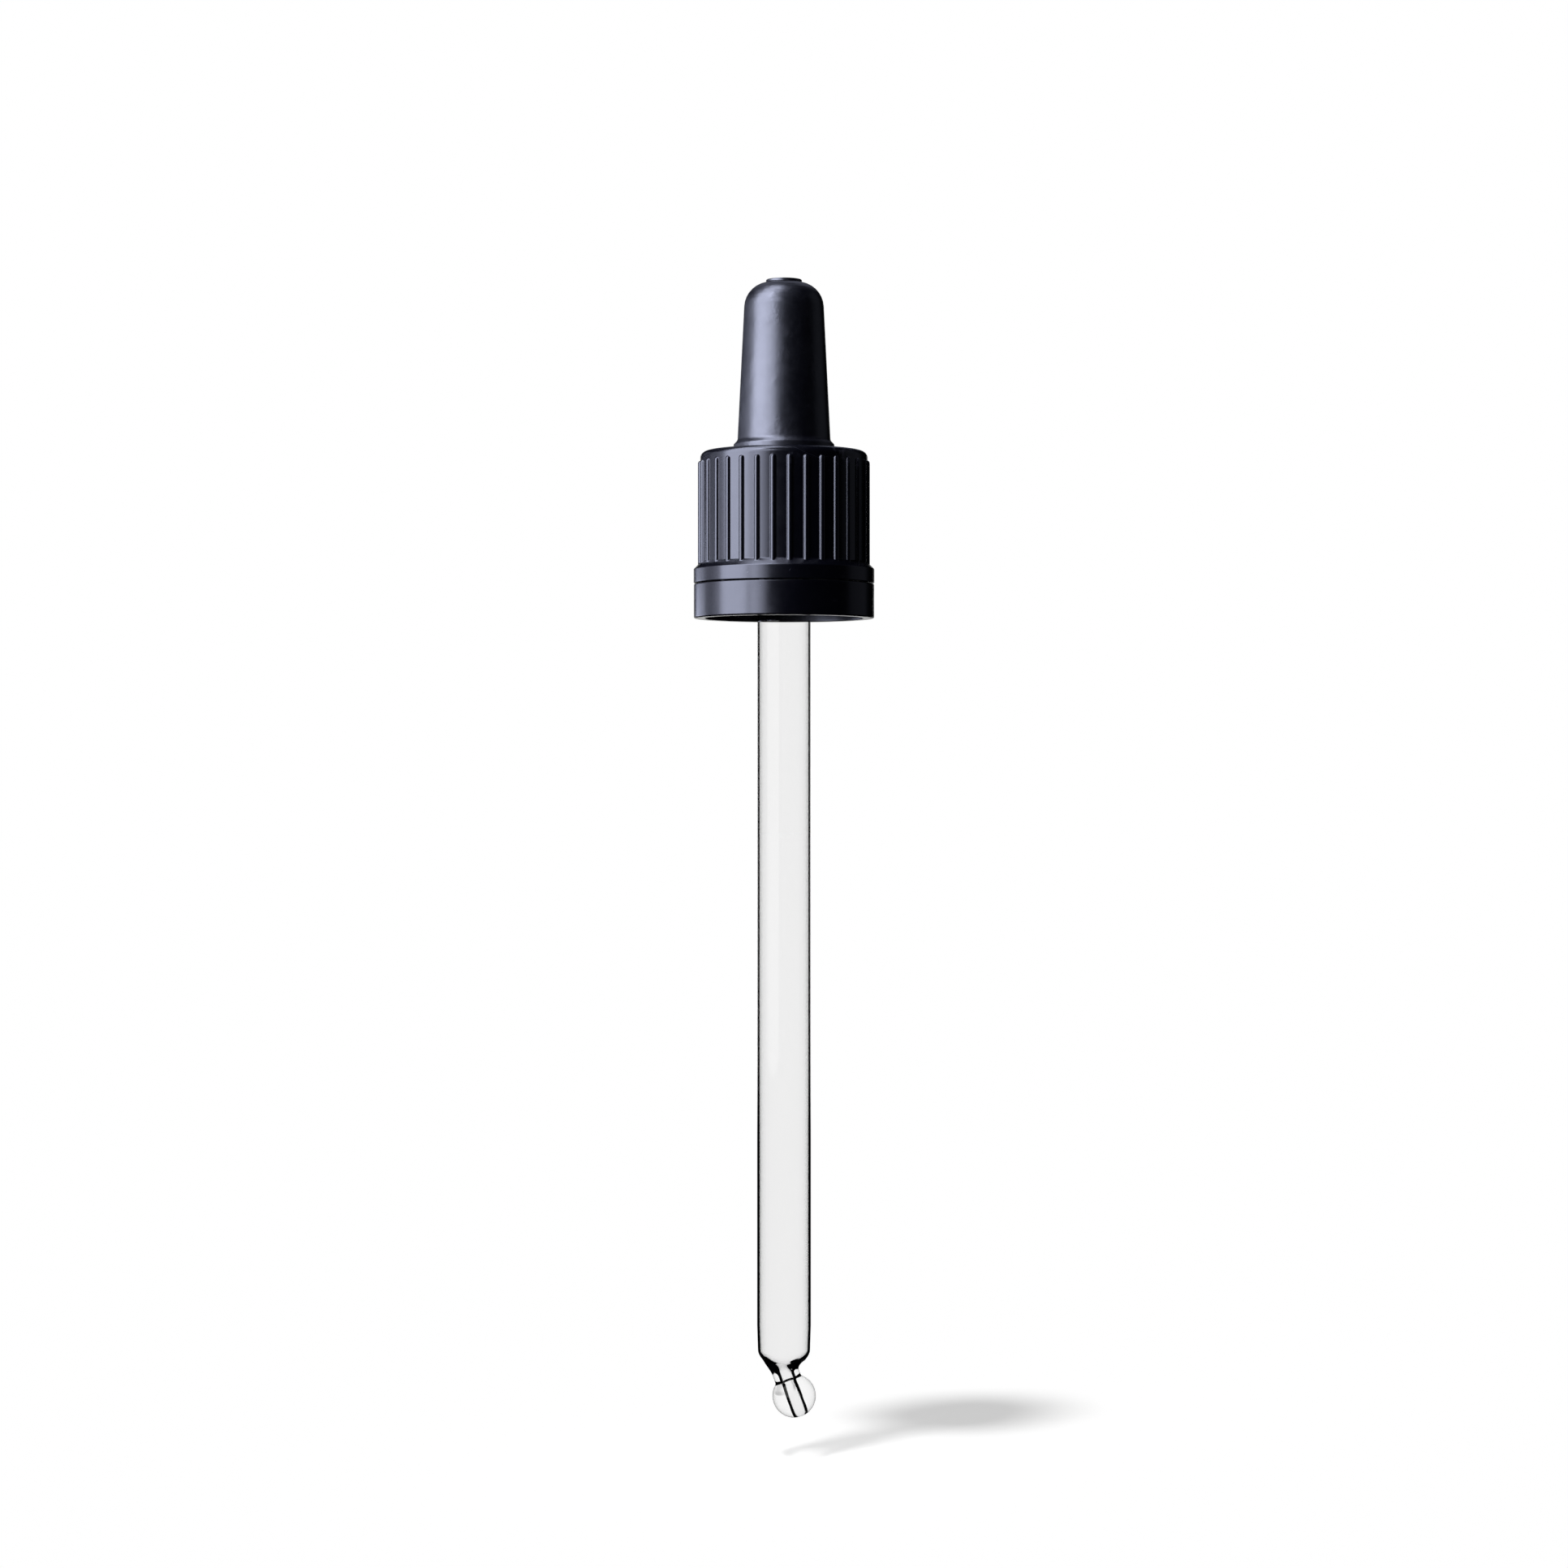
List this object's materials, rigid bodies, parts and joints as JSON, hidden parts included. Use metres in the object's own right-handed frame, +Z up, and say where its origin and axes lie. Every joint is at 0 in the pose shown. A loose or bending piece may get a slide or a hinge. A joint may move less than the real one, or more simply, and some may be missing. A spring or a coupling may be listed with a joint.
{
  "type": "dropper closure with glass pipette",
  "caption": "Black ribbed tamper-evident screw cap with a rubber squeeze teat and a long clear glass pipette that ends in a bent ball tip.",
  "frame": {"origin": "centre of the plane where the bottle's rim meets the underside of the teat's sealing flange", "axes": "+Z up along the closure's axis, out of the bottle; +X is the side to which the pipette's tip is bent"},
  "size_m": [0.0236, 0.0236, 0.1484],
  "materials": {
    "black_rubber": "satin moulded rubber",
    "black_plastic": "satin moulded polypropylene",
    "clear_glass": "clear drawn tube, fire-polished"
  },
  "bodies": {
    "band": {"tamper_band": "black_plastic", "break_bridges": "black_plastic"},
    "dropper": {"rubber_teat": "black_rubber", "glass_pipette": "clear_glass"},
    "cap": {"screw_cap": "black_plastic"},
    "left_pad": {"teat_pad_left": "black_rubber"},
    "right_pad": {"teat_pad_right": "black_rubber"}
  },
  "joints": [
    {"name": "cap_lift", "type": "slide", "parent": "band", "child": "dropper", "axis": [0, 0, 1], "range_m": [0, 0.0045]},
    {"name": "cap_turn", "type": "hinge", "parent": "dropper", "child": "cap", "pos_m": [0, 0, 0], "axis": [0, 0, 1], "range_deg": [0, 540]},
    {"name": "teat_press_left", "type": "slide", "parent": "dropper", "child": "left_pad", "axis": [1, 0, 0], "range_m": [0, 0.0026], "stiffness_N_per_m": 600},
    {"name": "teat_press_right", "type": "slide", "parent": "dropper", "child": "right_pad", "axis": [-1, 0, 0], "range_m": [0, 0.0026], "stiffness_N_per_m": 600}
  ],
  "couplings": [
    {"joint": "cap_lift", "follows": "cap_turn", "m_per_rad": 0.00047746},
    {"joint": "teat_press_right", "follows": "teat_press_left", "ratio": 1}
  ]
}
